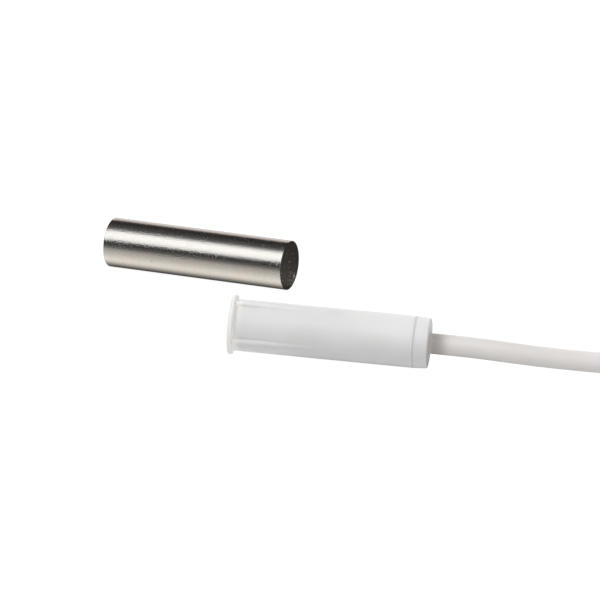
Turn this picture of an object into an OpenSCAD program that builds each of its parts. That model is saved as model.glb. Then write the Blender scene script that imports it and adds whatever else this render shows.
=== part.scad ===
// Magnetic contact for a door or window: a flanged round reed switch on a
// four-core lead, and the plain bar magnet that works it, both lying on a table.
// X runs along the switch towards its lead, Z is up and the table is z = 0.

/* [Switch body] */
// Diameter of the barrel and of the hole that it is pushed into
barrel_d = 8; // [8:0.5:12]
// Length from the front face to the rear face of the cap
switch_len = 30.8; // [30:0.2:45]
// Wall thickness of the barrel
barrel_wall = 0.8; // [0.5:0.05:0.85]
// Thickness of the closed front wall
front_wall = 1; // [0.8:0.1:1.5]
// How far the flange stands out past the barrel
flange_reach = 0.62; // [0.56:0.02:2]
// Thickness of the flange
flange_t = 0.7; // [0.5:0.1:1.2]
// Radius of the rounded rim of the flange
rim_round = 0.2; // [0.05:0.05:0.24]

/* [Grip ribs] */
// Number of ribs that grip the sides of the hole
rib_count = 4; // [3:1:6]
// Angle of the first rib above the horizontal
rib_turn = 66; // [0:1:90]
// Width of a rib
rib_w = 0.78; // [0.5:0.02:0.9]
// Height of a rib beside the flange
rib_h = 0.5; // [0.3:0.05:0.54]
// Length of a rib, from the flange to where it runs out
rib_len = 14; // [6:0.5:20]

/* [Rear cap] */
// Visible length of the cap
cap_len = 2.15; // [1.5:0.05:4]
// How much smaller the cap's radius is than the barrel's, at the seam
cap_step = 0.05; // [0.02:0.01:0.3]
// How much the cap's radius narrows towards its rear face
cap_draft = 0.08; // [0.02:0.01:0.2]
// Length of the plug that seats inside the barrel
plug_len = 3.6; // [3:0.1:5]
// Length of the crimp ring that keeps the lead from pulling out
ring_len = 2.2; // [1.5:0.1:2.6]
// Wall thickness of the crimp ring
ring_wall = 0.4; // [0.2:0.05:0.5]

/* [Circuit board] */
// Thickness of the board
board_t = 0.6; // [0.4:0.1:0.8]
// Thickness of the copper tracks
track_t = 0.05; // [0.03:0.01:0.1]
// Width of the copper tracks
track_w = 0.5; // [0.3:0.1:0.6]

/* [Reed switch] */
// Diameter of the glass tube
glass_d = 2.2; // [1.9:0.1:2.4]
// Wall thickness of the glass tube
glass_wall = 0.3; // [0.2:0.05:0.35]
// Length of the solid glass seal at each end
seal_len = 1.6; // [1:0.1:2]
// Diameter of the metal leads
lead_d = 0.5; // [0.4:0.05:0.6]
// Length of a lead outside the glass, which fills the board's length between its leads
lead_out = 1.9; // [1.5:0.1:2.4]
// Width of a blade
blade_w = 0.9; // [0.6:0.05:1.0]
// Thickness of a blade
blade_t = 0.2; // [0.12:0.02:0.24]
// Open gap between the blades' contact faces
contact_gap = 0.1; // [0.1:0.02:0.16]
// Length over which the blades overlap
contact_lap = 1; // [0.6:0.1:1.6]

/* [Lead] */
// Outside diameter of the lead
cable_d = 3.2; // [3:0.1:3.6]
// Outside diameter of one insulated core
core_d = 1.05; // [0.9:0.05:1.1]
// Diameter of the bare stranded wire in a core
wire_d = 0.4; // [0.3:0.05:0.5]
// Length of bare wire on the board
wire_bare = 2.3; // [1.6:0.1:3]
// Length of core between its stripped end and the end of the jacket
core_out = 1.8; // [1:0.1:2.5]
// Length of the cores stripped at the free end
end_strip = 45; // [30:1:60]
// Length of bare tinned wire at the tip of each free core
tip_len = 6; // [4:1:8]

/* [Coil of spare lead] */
// Middle radius of the coil
coil_r = 18; // [16:0.5:22]
// Number of turns side by side
coil_columns = 5; // [4:1:6]
// Number of layers
coil_layers = 4; // [2:2:6]
// Distance between turns side by side
coil_pitch = 3.25; // [3.2:0.05:3.6]
// Width of the tie round the coil
tie_w = 4; // [3:0.5:6]
// Thickness of the tie
tie_t = 0.4; // [0.3:0.05:0.6]

/* [Magnet] */
// Diameter of the magnet
magnet_d = 8; // [5:0.5:12]
// Length of the magnet
magnet_len = 31.1; // [20:0.1:40]
// Width of the edge break at its ends
magnet_break = 0.08; // [0.04:0.02:0.3]
// How far the magnet's middle lies ahead of the switch's front face
magnet_ahead = 12.3; // [0:0.1:25]
// How far the magnet's middle lies from the switch's centre line
magnet_away = 50.8; // [30:0.1:80]
// Angle between the magnet and the switch
magnet_yaw = 14.5; // [0:0.5:30]

/* [Hidden] */
$fn = 64;

// Clearances between pieces that fit each other
slide_gap = 0.1;
push_gap = 0.03;
core_play = 0.01;
blade_root_gap = 0.02;
// Overcut of a hole past the face that it opens through
over = 0.5;

// Lengths along the switch, from its front face
seam_x = switch_len - cap_len;
plug_x = seam_x - plug_len;
jacket_past = 0.3;
jacket_x = plug_x - jacket_past;
strip_x = jacket_x - core_out;
board_setback = 0.3;
board_x = front_wall + board_setback;
board_end = strip_x - slide_gap;
wire_x = board_end - wire_bare + slide_gap;
lead_setback = 0.8;
wire_gap = 0.55;
glass_x = board_x + lead_setback + lead_out;
glass_end = wire_x - wire_gap - lead_out;
reed_mid = (glass_x + glass_end) / 2;
front_root_x = glass_x + seal_len;
rear_root_x = glass_end - seal_len;

// Radii of the body
barrel_r = barrel_d / 2;
flange_r = barrel_r + flange_reach;
bore_r = barrel_r - barrel_wall;
seam_bevel = 0.12;
rib_sink = 0.04;
cap_r = barrel_r - cap_step;
cap_end_r = cap_r - cap_draft;
cable_r = cable_d / 2;
core_r = core_d / 2;
wire_r = wire_d / 2;
ring_r = cable_r + ring_wall;

// Board, tracks and the reed that sits in the board's window
track_z = board_t / 2 + track_t;
board_half = sqrt(bore_r * bore_r - board_t * board_t / 4) - slide_gap;
window_gap = 0.2;
window_half = glass_d / 2 + window_gap;
rail_h = 0.6;
rail_reach = 0.7;

// Wires and reed leads lie on a film of solder on their pads, under a dome of it
solder_film = 0.03;
solder_cover = 0.08;
pad_gap = 0.3;
reed_z = track_z + solder_film + lead_d / 2;
core_off = max(track_z + solder_film + wire_r, core_r);
jacket_bore_r = core_off * sqrt(2) + core_r + core_play;
function solder_r(wire) = 2 * wire + solder_film + solder_cover;

// Resting pose: the switch lies on its flange and on the first edge behind it
tilt = min(
    atan(flange_reach / (seam_x - flange_t)),
    atan((flange_r - cap_end_r) / (switch_len - flange_t))
);
rest_z = flange_t * sin(tilt) + flange_r * cos(tilt);
magnet_r = magnet_d / 2;

// Middle of the space that the switch and the magnet take up
low_x = -magnet_ahead - magnet_len / 2 * cos(magnet_yaw) - magnet_r * sin(magnet_yaw);
high_x = switch_len * cos(tilt) + cap_end_r * sin(tilt);
high_y = magnet_away + magnet_len / 2 * sin(magnet_yaw) + magnet_r * cos(magnet_yaw);
centre = [(low_x + high_x) / 2, (high_y - flange_r) / 2, 0];

// Lead route: forward of the cap and sideways from it, and height above the table
exit_point = [switch_len * cos(tilt), 0, rest_z - switch_len * sin(tilt)] - centre;
exit_dir = [cos(tilt), 0, -sin(tilt)];
lead_route = [
    [4, 0, 3.85], [8, 0, 3.68], [12, 0.05, 3.42], [16, 0.3, 3.12], [20, 0.9, 2.8],
    [24, 1.75, 2.5], [28, 2.65, 2.2], [32, 3.4, 1.92], [36, 3.95, 1.72], [40, 4.25, 1.65],
    [44, 4.35, 1.74], [48, 4.4, 1.9]
];
coil_start = [52, 4.4];
cord_sides = 8;

// Coil: turns wound in and out again, layer upon layer
coil_reach = (coil_columns - 1) / 2 * coil_pitch;
coil_outer = coil_r + coil_reach;
coil_low = tie_t;
coil_top = coil_low + coil_layers * cable_d;
coil_centre = [exit_point[0] + coil_start[0], exit_point[1] + coil_start[1] + coil_outer, 0];
tie_turn = 45;
tail_from = 90;
tail_climb = 60;
tail_turn = 100;
tail_step = 20;
tail_in = 3.5;
fan_r = [23, 17, 20, 14];
fan_turn = 60;
fan_steps = 8;
tip_steps = 2;

CORE_COLOURS = ["white", "saddlebrown", "seagreen", "gold"];
CORE_PLACES = [[1, 1], [-1, 1], [1, -1], [-1, -1]];

function unit(v) = v / norm(v);
function soft(u) = u * u * (3 - 2 * u);
function polar(r, turn, z) = coil_centre + [r * cos(turn), r * sin(turn), z];

// Points of the lead from the cap to the first turn of the coil
function lead_points() = concat(
    [exit_point],
    [for (p = lead_route) [exit_point[0] + p[0], exit_point[1] + p[1], p[2]]],
    [[exit_point[0] + coil_start[0], exit_point[1] + coil_start[1], coil_low + cable_r]]
);

// Points of the tail, which climbs from the top layer and lies on the coil
function tail_point(turn) =
    let (up = soft(min(1, turn / tail_climb)), in = soft(turn / tail_turn))
    polar(coil_outer - tail_in * in, tail_from + turn, coil_top + cable_r * (2 * up - 1));
tail_path = [for (turn = [0:tail_step:tail_turn]) tail_point(turn)];

// Points of one stripped core, which fans out over the top of the coil
function fan_point(i, u) =
    let (
        place = CORE_PLACES[i],
        turn = end_strip / fan_r[i] * 180 / PI * u,
        spread = soft(min(1, turn / fan_turn)),
        from_r = coil_outer - tail_in + place[0] * core_off,
        from_z = cable_r + place[1] * core_off
    )
    polar(
        from_r + (fan_r[i] - from_r) * spread,
        tail_from + tail_turn + turn,
        coil_top + from_z + (core_r - from_z) * spread
    );
function fan_points(i, from, to, steps) = [
    for (k = [0:steps]) fan_point(i, from + (to - from) * k / steps)
];
function core_path(i) = fan_points(i, 0, 1 - tip_len / end_strip, fan_steps);
function tip_path(i) = fan_points(i, 1 - tip_len / end_strip, 1, tip_steps);

// Direction of a path at one of its points, and of a circle round the coil at an angle
function heading(path, i) =
    unit(path[min(i + 1, len(path) - 1)] - path[max(i - 1, 0)]);
function round_heading(turn) = [-sin(turn), cos(turn), 0];
function ring_points(at, along, r) =
    let (side = unit(cross(along, [0, 0, 1])), up = cross(side, along))
    [
        for (k = [0:cord_sides - 1])
            let (a = 360 * k / cord_sides)
            at + r * (cos(a) * side + sin(a) * up)
    ];

// Round cord swept along a path, with each end square to the direction given for it
module swept_cord(path, r, first, final) {
    last = len(path) - 1;
    points = [
        for (i = [0:last])
            each ring_points(path[i], i == 0 ? first : i == last ? final : heading(path, i), r)
    ];
    sides = [
        for (i = [0:last - 1], k = [0:cord_sides - 1])
            let (a = i * cord_sides, b = (k + 1) % cord_sides)
            [a + k, a + b, a + cord_sides + b, a + cord_sides + k]
    ];
    start_face = [for (k = [cord_sides - 1:-1:0]) k];
    end_face = [for (k = [0:cord_sides - 1]) last * cord_sides + k];
    polyhedron(points, concat([start_face], sides, [end_face]));
}

// Puts a piece of the switch, drawn along X from its front face, in its resting pose
module laid() {
    translate([0, 0, rest_z] - centre) rotate([0, tilt, 0]) children();
}

// Round bar along X
module bar(from, to, r) {
    translate([from, 0, 0]) rotate([0, 90, 0]) cylinder(h = to - from, r = r);
}

// Block along X, centred on the axis unless it is moved
module block(from, to, width, height) {
    translate([from, -width / 2, -height / 2]) cube([to - from, width, height]);
}

// Rectangle with rounded corners, with its lower left corner at the origin
module soft_rectangle(width, height, r) {
    translate([r, 0]) square([width - 2 * r, height]);
    translate([0, r]) square([width, height - 2 * r]);
    for (x = [r, width - r], y = [r, height - r]) translate([x, y]) circle(r);
}

// Flange: a thin disc with a rounded rim
module flange() {
    rotate([0, 90, 0]) rotate_extrude() {
        square([flange_r - rim_round, flange_t]);
        translate([flange_r - 3 * rim_round, 0]) soft_rectangle(3 * rim_round, flange_t, rim_round);
    }
}

// Barrel with a small bevel at the seam to the cap
module barrel() {
    bar(0, seam_x - seam_bevel, barrel_r);
    translate([seam_x - seam_bevel, 0, 0]) rotate([0, 90, 0])
        cylinder(h = seam_bevel, r1 = barrel_r, r2 = barrel_r - seam_bevel);
}

// Grip rib: a round-topped ridge with straight sides that sinks into the barrel as it runs back
module grip_rib() {
    rib_r = rib_w / 2;
    drop = rib_h + rib_sink;
    slope = atan(drop / rib_len);
    translate([flange_t / 2, 0, barrel_r + rib_h - rib_r]) rotate([0, 90 + slope, 0])
        linear_extrude(norm([rib_len, drop])) {
            circle(rib_r);
            translate([0, -rib_r]) square([rib_r, rib_w]);
        }
}

// Two pairs of rails inside the barrel hold the edges of the board
module board_rails() {
    rail_z = board_t / 2 + slide_gap / 2;
    inner = bore_r - rail_reach;
    intersection() {
        bar(front_wall - slide_gap, plug_x - 2 * slide_gap, bore_r + slide_gap);
        for (side = [-1, 1], up = [0, 1])
            mirror([0, 0, up])
                translate([0, side * (inner + bore_r) / 2, rail_z + rail_h / 2])
                    block(front_wall - slide_gap, plug_x, bore_r - inner + 2 * slide_gap, rail_h);
    }
}

module housing() {
    color("white") laid() {
        difference() {
            union() {
                flange();
                barrel();
                for (k = [0:rib_count - 1])
                    rotate([90 - rib_turn + 360 * k / rib_count, 0, 0]) grip_rib();
            }
            bar(front_wall, seam_x + over, bore_r);
        }
        board_rails();
    }
}

// Cap with a plug that seats in the barrel, a hole for the lead and a pocket for its ring
module rear_cap() {
    pocket_end = plug_x + ring_len + slide_gap;
    color("whitesmoke") laid() difference() {
        union() {
            translate([seam_x, 0, 0]) rotate([0, 90, 0])
                cylinder(h = cap_len, r1 = cap_r, r2 = cap_end_r);
            bar(plug_x, seam_x + slide_gap, bore_r - push_gap);
        }
        bar(plug_x - over, switch_len + over, cable_r + push_gap);
        bar(plug_x - over, pocket_end, ring_r + push_gap);
    }
}

module carrier_board() {
    color("darkgreen") laid() difference() {
        block(board_x, board_end, 2 * board_half, board_t);
        block(glass_x - window_gap, glass_end + window_gap, 2 * window_half, board_t + over);
    }
}

// Flat copper patch on the upper face of the board
module patch(from, to, low, high) {
    translate([from, low, board_t / 2]) cube([to - from, high - low, track_t]);
}

// Tracks: front reed lead to the white wire, rear lead to the brown one, and the loop below
module board_tracks() {
    near = window_half + pad_gap;
    far = near + track_w;
    front_pad_x = board_x + pad_gap;
    rear_pad_x = glass_end + pad_gap;
    wire_pad_x = wire_x - slide_gap;
    pad_end = board_end - slide_gap;
    lead_pad = solder_r(lead_d / 2);
    wire_pad = solder_r(wire_r);
    color("darkgoldenrod") laid() {
        patch(front_pad_x, glass_x - pad_gap, -lead_pad, far);
        patch(front_pad_x, pad_end, near, far);
        patch(wire_pad_x, pad_end, core_off - wire_pad, far);
        patch(rear_pad_x, wire_pad_x - pad_gap, -core_off - wire_pad, lead_pad);
        patch(rear_pad_x, pad_end, -core_off - wire_pad, wire_pad - core_off);
        mirror([0, 0, 1]) patch(wire_pad_x, pad_end, -core_off - wire_pad, core_off + wire_pad);
    }
}

// Domed solder joint over a wire of radius r that lies along X on its pad
module solder_joint(x, y, r) {
    half = solder_r(r) + over;
    translate([x, y, track_z]) difference() {
        sphere(solder_r(r));
        translate([-half, -half, -half]) cube([2 * half, 2 * half, half]);
        translate([0, 0, solder_film + r]) bar(-half, half, r);
    }
}

module solder_joints() {
    color("silver") laid() {
        solder_joint(board_x + lead_setback + lead_out / 2, 0, lead_d / 2);
        solder_joint(glass_end + lead_out / 2, 0, lead_d / 2);
        for (y = [-1, 1], down = [0, 1])
            mirror([0, 0, down]) solder_joint((wire_x + board_end) / 2, y * core_off, wire_r);
    }
}

// Glass tube with rounded solid ends, sealed round the two leads
module reed_glass() {
    glass_r = glass_d / 2;
    color("lightcyan", 0.4) laid() translate([0, 0, reed_z]) difference() {
        union() {
            bar(glass_x + glass_r, glass_end - glass_r, glass_r);
            for (x = [glass_x + glass_r, glass_end - glass_r]) translate([x, 0, 0]) sphere(glass_r);
        }
        bar(front_root_x, rear_root_x, glass_r - glass_wall);
        bar(glass_x - over, glass_end + over, lead_d / 2);
    }
}

// The metal leads of the reed, which pass through the seals and lie on their pads
module front_reed_lead() {
    color("lightsteelblue") laid() translate([0, 0, reed_z])
        bar(board_x + lead_setback, front_root_x, lead_d / 2);
}

module rear_reed_lead() {
    color("lightsteelblue") laid() translate([0, 0, reed_z])
        bar(rear_root_x, glass_end + lead_out, lead_d / 2);
}

// The flat springy blades, which bend together when the magnet comes near
module front_reed_blade() {
    color("lightsteelblue") laid() translate([0, 0, reed_z - (contact_gap + blade_t) / 2])
        block(front_root_x + blade_root_gap, reed_mid + contact_lap / 2, blade_w, blade_t);
}

module rear_reed_blade() {
    color("lightsteelblue") laid() translate([0, 0, reed_z + (contact_gap + blade_t) / 2])
        block(reed_mid - contact_lap / 2, rear_root_x - blade_root_gap, blade_w, blade_t);
}

// Insulation of one core inside the switch, numbered as in CORE_PLACES
module core(i) {
    place = CORE_PLACES[i] * core_off;
    color(CORE_COLOURS[i]) laid() translate([0, place[0], place[1]]) difference() {
        bar(strip_x, switch_len, core_r);
        bar(strip_x - over, switch_len + over, wire_r);
    }
}

// Stranded wire of one core, bare where it lies on the board
module wire(i) {
    place = CORE_PLACES[i] * core_off;
    color("peru") laid() translate([0, place[0], place[1]]) bar(wire_x, switch_len, wire_r);
}

// The jacket's own end inside the cap
module lead_jacket() {
    color("gainsboro") laid() difference() {
        bar(jacket_x, switch_len, cable_r);
        bar(jacket_x - over, switch_len + over, jacket_bore_r);
    }
}

module crimp_ring() {
    color("goldenrod") laid() difference() {
        bar(plug_x, plug_x + ring_len, ring_r);
        bar(plug_x - over, plug_x + ring_len + over, cable_r);
    }
}

// Bar magnet with a fine edge break at each end
module magnet() {
    color("dimgray")
        translate([-magnet_ahead, magnet_away, magnet_r] - centre)
            rotate([0, 90, -magnet_yaw])
                rotate_extrude()
                    polygon([
                        [0, -magnet_len / 2],
                        [magnet_r - magnet_break, -magnet_len / 2],
                        [magnet_r, -magnet_len / 2 + magnet_break],
                        [magnet_r, magnet_len / 2 - magnet_break],
                        [magnet_r - magnet_break, magnet_len / 2],
                        [0, magnet_len / 2]
                    ]);
}

module cable() {
    color("gainsboro") swept_cord(lead_points(), cable_r, exit_dir, [1, 0, 0]);
}

// Section through all the turns on one side of the coil, grown by a margin
module coil_section(margin) {
    half = coil_reach + cable_r + margin;
    translate([coil_r - half, coil_low - margin])
        soft_rectangle(2 * half, coil_layers * cable_d + 2 * margin, cable_r + margin);
}

module cable_coil() {
    color("gainsboro") translate(coil_centre) rotate_extrude() coil_section(0);
}

module cable_tail() {
    color("gainsboro")
        swept_cord(tail_path, cable_r, round_heading(tail_from), round_heading(tail_from + tail_turn));
}

// Tie: a flat band round the coil's section
module coil_tie() {
    band = tie_w / coil_r * 180 / PI;
    color("dimgray") translate(coil_centre) rotate([0, 0, tie_turn - band / 2])
        rotate_extrude(angle = band) difference() {
            coil_section(tie_t);
            coil_section(0);
        }
}

// Free end of one core, from the end of the jacket to its bare tip
module core_end(i) {
    path = core_path(i);
    color(CORE_COLOURS[i])
        swept_cord(path, core_r, round_heading(tail_from + tail_turn), heading(path, fan_steps));
}

module tinned_tips() {
    color("silver") for (i = [0:3])
        swept_cord(
            tip_path(i), wire_r, heading(core_path(i), fan_steps), heading(tip_path(i), tip_steps)
        );
}

housing();
rear_cap();
carrier_board();
board_tracks();
solder_joints();
reed_glass();
front_reed_lead();
rear_reed_lead();
front_reed_blade();
rear_reed_blade();
core(0);  // white_core
core(1);  // brown_core
core(2);  // green_core
core(3);  // yellow_core
wire(0);  // white_wire
wire(1);  // brown_wire
wire(2);  // green_wire
wire(3);  // yellow_wire
lead_jacket();
crimp_ring();
magnet();
cable();
cable_coil();
cable_tail();
coil_tie();
core_end(0);  // white_end
core_end(1);  // brown_end
core_end(2);  // green_end
core_end(3);  // yellow_end
tinned_tips();
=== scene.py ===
import bpy
import numpy as np
from mathutils import Matrix


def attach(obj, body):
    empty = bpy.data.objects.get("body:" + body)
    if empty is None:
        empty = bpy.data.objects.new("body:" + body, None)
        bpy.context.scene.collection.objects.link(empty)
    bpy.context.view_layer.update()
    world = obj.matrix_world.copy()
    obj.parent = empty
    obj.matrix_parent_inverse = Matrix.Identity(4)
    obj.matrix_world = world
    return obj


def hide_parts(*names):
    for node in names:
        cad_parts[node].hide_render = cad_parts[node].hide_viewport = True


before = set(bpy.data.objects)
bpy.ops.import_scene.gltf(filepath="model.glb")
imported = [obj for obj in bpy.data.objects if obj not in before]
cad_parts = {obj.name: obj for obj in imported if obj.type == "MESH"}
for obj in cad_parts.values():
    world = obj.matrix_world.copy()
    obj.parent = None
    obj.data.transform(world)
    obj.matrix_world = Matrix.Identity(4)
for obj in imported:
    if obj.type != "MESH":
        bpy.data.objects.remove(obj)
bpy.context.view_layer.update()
mm = 0.001  # shapes are worked out in millimetres, materials and lights in metres
print("frame loaded")

# Sizes of the switch and its resting place: it lies on its flange and on the edge at its seam,
# so it is tilted by the flange's reach over the flange's distance from the seam
switch = {
    "barrelRadius": 4.0, "length": 30.8, "seam": 28.65, "frontWall": 1.0, "wall": 0.8,
    "flangeRadius": 4.62, "flangeThick": 0.7, "tilt": np.arctan(0.62 / 27.95),
    "shift": (1.2610171, 26.9729998),
}
restHeight = (switch["flangeThick"] * np.sin(switch["tilt"])
              + switch["flangeRadius"] * np.cos(switch["tilt"]))

# The bar magnet, which lies on its side
bar = {"radius": 3.997, "length": 31.096, "edge": 0.08, "edgeHold": 0.03, "columns": 160,
       "yaw": np.radians(14.5), "middle": (-13.5610171, 23.8270002, 4.0)}


def laid(points):
    # turned about Y by the tilt: x cos t + z sin t, y, z cos t - x sin t, then moved to its place
    x, y, z = np.moveaxis(np.asarray(points, float), -1, 0)
    c, s = np.cos(switch["tilt"]), np.sin(switch["tilt"])
    return np.stack([x * c + z * s - switch["shift"][0], y - switch["shift"][1],
                     z * c - x * s + restHeight], -1)


def laidBar(points):
    # turned about Z by minus the yaw: x cos w + y sin w, y cos w - x sin w, z, then moved to the
    # magnet's middle
    x, y, z = np.moveaxis(np.asarray(points, float), -1, 0)
    c, s = np.cos(bar["yaw"]), np.sin(bar["yaw"])
    return np.stack([x * c + y * s, y * c - x * s, z], -1) + bar["middle"]


def addObject(name, data):
    # a new object in the scene, at the origin, that shows the data
    made = bpy.data.objects.new(name, data)
    bpy.context.scene.collection.objects.link(made)
    return made


def aim(azimuth, elevation):
    # back = (sin a cos e, -cos a cos e, sin e) points out from the target at azimuth a and
    # elevation e, level is flat and square to it, and rise is back crossed with level
    a, e = np.radians(azimuth), np.radians(elevation)
    back = np.array([np.sin(a) * np.cos(e), -np.cos(a) * np.cos(e), np.sin(e)])
    level = np.array([np.cos(a), np.sin(a), 0.0])
    return level, np.cross(back, level), back


def turnTo(thing, right, up, back, place):
    # its own X, Y and Z point along right, up and back, and it stands at its place in metres
    thing.matrix_world = Matrix(np.vstack([np.column_stack([right, up, back, place]),
                                           [0, 0, 0, 1]]).tolist())


# Camera at the photograph's viewing angle
view = {"azimuth": 7.1, "elevation": 12.9, "roll": 2.61, "distance": 1000.0,
        "lens": 381.5, "sensor": 36.0, "clip": (0.05, 20.0), "target": (6.433, -4.227, 4.0)}


def makeCamera():
    # rolled about its line of sight: right = level cos r + rise sin r, up = rise cos r - level sin r
    level, rise, back = aim(view["azimuth"], view["elevation"])
    r = np.radians(view["roll"])
    right = np.cos(r) * level + np.sin(r) * rise
    up = np.cos(r) * rise - np.sin(r) * level
    data = bpy.data.cameras.new("camera")
    data.lens, data.sensor_width = view["lens"], view["sensor"]
    data.clip_start, data.clip_end = view["clip"]
    camera = addObject("camera", data)
    turnTo(camera, right, up, back, (np.array(view["target"]) + view["distance"] * back) * mm)
    bpy.context.scene.camera = camera


makeCamera()
print("camera placed")


def unit(vectors):
    # each vector divided by its own length
    return vectors / np.linalg.norm(vectors, axis=-1, keepdims=True)


def soft(t):
    # rises from 0 to 1 with level ends: t squared times (3 - 2 t)
    t = np.clip(t, 0, 1)
    return t * t * (3 - 2 * t)


def around(count):
    # one row of angles all the way round
    return np.linspace(0, 2 * np.pi, count, endpoint=False)[None, :]


def ringPiece(name, rings, poles=None, sharp=40, along=None):
    # rings is a grid of points, row by row along the piece and closed around it. Each row
    # joins the next by quads. poles are the two points that close its ends, and without
    # them the last row joins the first. UV is the place along in metres and the share around.
    rows, columns = rings.shape[:2]
    points = rings.reshape(-1, 3)
    row = np.arange(rows if poles is None else rows - 1)[:, None]
    column = np.arange(columns)[None, :]
    beside, after = (column + 1) % columns, (row + 1) % rows
    quads = np.stack([row * columns + column, row * columns + beside,
                      after * columns + beside, after * columns + column], -1).reshape(-1, 4)
    if along is None:
        steps = np.linalg.norm(np.diff(rings, axis=0), axis=-1).mean(1)
        along = np.concatenate([[0], np.cumsum(steps)])
    alongNext = np.append(along, along[-1])
    u = np.stack([along[row + 0 * column], along[row + 0 * column],
                  alongNext[row + 1 + 0 * column], alongNext[row + 1 + 0 * column]], -1)
    v = np.stack([column + 0 * row, column + 1 + 0 * row,
                  column + 1 + 0 * row, column + 0 * row], -1) / columns
    uv = np.stack([u.reshape(-1, 4) * mm, v.reshape(-1, 4)], -1)
    faces, corners = quads.tolist(), [uv.reshape(-1, 2)]
    if poles is not None:
        # a fan of triangles closes each end
        points = np.vstack([points, poles])
        first, last = rows * columns, rows * columns + 1
        c, n = column.ravel(), beside.ravel()
        tail = (rows - 1) * columns
        faces += np.stack([n, c, np.full(columns, first)], -1).tolist()
        faces += np.stack([tail + c, tail + n, np.full(columns, last)], -1).tolist()
        for place in (along[0], along[-1]):
            corners.append(np.stack([np.full((columns, 3), place * mm),
                                     np.stack([c, n, c + 0.5 * (n - c)], -1) / columns],
                                    -1).reshape(-1, 2))
    # the sign of the volume that the quads sweep tells whether they point outwards
    a, b, c, d = (points[quads[:, k]] for k in range(4))
    volume = (np.cross(a, b) * c).sum() + (np.cross(a, c) * d).sum()
    mesh = bpy.data.meshes.new(name)
    mesh.from_pydata((points * mm).tolist(), [], faces)
    layer = mesh.uv_layers.new(name="along")
    layer.data.foreach_set("uv", np.vstack(corners).astype(np.float32).ravel())
    if volume < 0:
        mesh.flip_normals()
    mesh.polygons.foreach_set("use_smooth", np.ones(len(mesh.polygons), bool))
    mesh.set_sharp_from_angle(angle=np.radians(sharp))
    return addObject(name, mesh)


def put(piece, finish, slotName, *nodes):
    # a finished piece rides on the base, takes its material and stands for its solids
    piece.data.materials.append(finish)
    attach(piece, "base")
    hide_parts(*nodes)
    return piece


# Shader maths

class Shade:
    # a number, colour or vector in a material; arithmetic on it adds Math nodes
    def __init__(self, tree, socket=None):
        self.tree, self.socket = tree, socket

    def node(self, kind, settings=None, inputs=None, out=0):
        # any node: its settings first, then the values or links of its sockets
        made = self.tree.nodes.new(kind)
        for key, value in (settings or {}).items():
            if key == "stops":
                ramp = made.color_ramp.elements
                while len(ramp) < len(value):
                    ramp.new(1.0)
                for element, (place, tone) in zip(ramp, value):
                    element.position, element.color = place, tone
            else:
                setattr(made, key, value)
        for key, value in (inputs or {}).items():
            if isinstance(value, Shade):
                self.tree.links.new(value.socket, made.inputs[key])
            else:
                made.inputs[key].default_value = value
        return Shade(self.tree, made.outputs[out] if len(made.outputs) else None)

    def math(self, operation, *others):
        # a Math node whose inputs are this and the others, in order
        inputs = dict(enumerate((self, *others)))
        return self.node("ShaderNodeMath", {"operation": operation}, inputs)

    def __add__(self, other):
        return self.math("ADD", other)

    __radd__ = __add__

    def __sub__(self, other):
        return self.math("SUBTRACT", other)

    def __rsub__(self, other):
        return (self * -1) + other

    def __mul__(self, other):
        return self.math("MULTIPLY", other)

    __rmul__ = __mul__

    def __truediv__(self, other):
        return self.math("DIVIDE", other)

    def part(self, axis):
        # the X, Y or Z of this vector
        return self.node("ShaderNodeSeparateXYZ", None, {0: self}, out="XYZ".index(axis))

    def times(self, factors):
        # this vector with each of its parts multiplied
        return self.node("ShaderNodeVectorMath", {"operation": "MULTIPLY"}, {0: self, 1: factors})

    def step(self, low, high):
        # 0 below low, 1 above high, with a soft rise between
        return self.node("ShaderNodeMapRange", {"interpolation_type": "SMOOTHSTEP"},
                         {"Value": self, "From Min": low, "From Max": high})

    def tone(self, dark, light):
        # mixes two colours by this number
        return self.node("ShaderNodeMix", {"data_type": "RGBA"},
                         {0: self, 6: dark, 7: light}, out=2)

    def noise(self, scale, detail=2.0, rough=0.5, stretch=None):
        # cloudy pattern with this as its coordinates, drawn out where stretch is small
        at = self.times(stretch) if stretch else self
        return self.node("ShaderNodeTexNoise", None,
                         {"Vector": at, "Scale": scale, "Detail": detail, "Roughness": rough})

    def swing(self):
        # a cloudy pattern about its middle level
        return self - 0.5


def colour(r, g, b):
    # an opaque colour in linear light
    return (r, g, b, 1.0)


def grey(level):
    # the same level of red, green and blue
    return colour(level, level, level)


def startFinish(name, place=(0, 0, 0), turn=(0, 0, 0), fromUv=False):
    # a material with one Principled shader, and the piece's own coordinates in metres
    material = bpy.data.materials.new(name)
    material.use_nodes = True
    tree = material.node_tree
    tree.nodes.clear()
    output = tree.nodes.new("ShaderNodeOutputMaterial")
    shader = tree.nodes.new("ShaderNodeBsdfPrincipled")
    tree.links.new(shader.outputs[0], output.inputs["Surface"])
    start = Shade(tree)
    coordinates = start.node("ShaderNodeTexCoord", out="UV" if fromUv else "Object")
    if any(place) or any(turn):
        coordinates = start.node("ShaderNodeMapping", {"vector_type": "TEXTURE"},
                                 {"Vector": coordinates, "Location": place, "Rotation": turn})
    return material, shader, coordinates


def setShader(shader, values, bump=None):
    # links or sets the shader's sockets; bump is a height from 0 to 1 and its depth in metres
    for key, value in values.items():
        if isinstance(value, Shade):
            value.tree.links.new(value.socket, shader.inputs[key])
        else:
            shader.inputs[key].default_value = value
    if bump is not None:
        height, depth = bump
        height.tree.links.new(height.node("ShaderNodeBump", None, {
            "Strength": 1.0, "Distance": depth, "Height": height}).socket,
            shader.inputs["Normal"])


switchPlace = tuple(laid([0, 0, 0]) * mm)
switchTurn = (0, switch["tilt"], 0)
barPlace = tuple(np.array(bar["middle"]) * mm)
barTurn = (0, 0, -bar["yaw"])
patternSpan = (0.3, 0.7)  # most of a cloudy pattern lies between these levels

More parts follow.
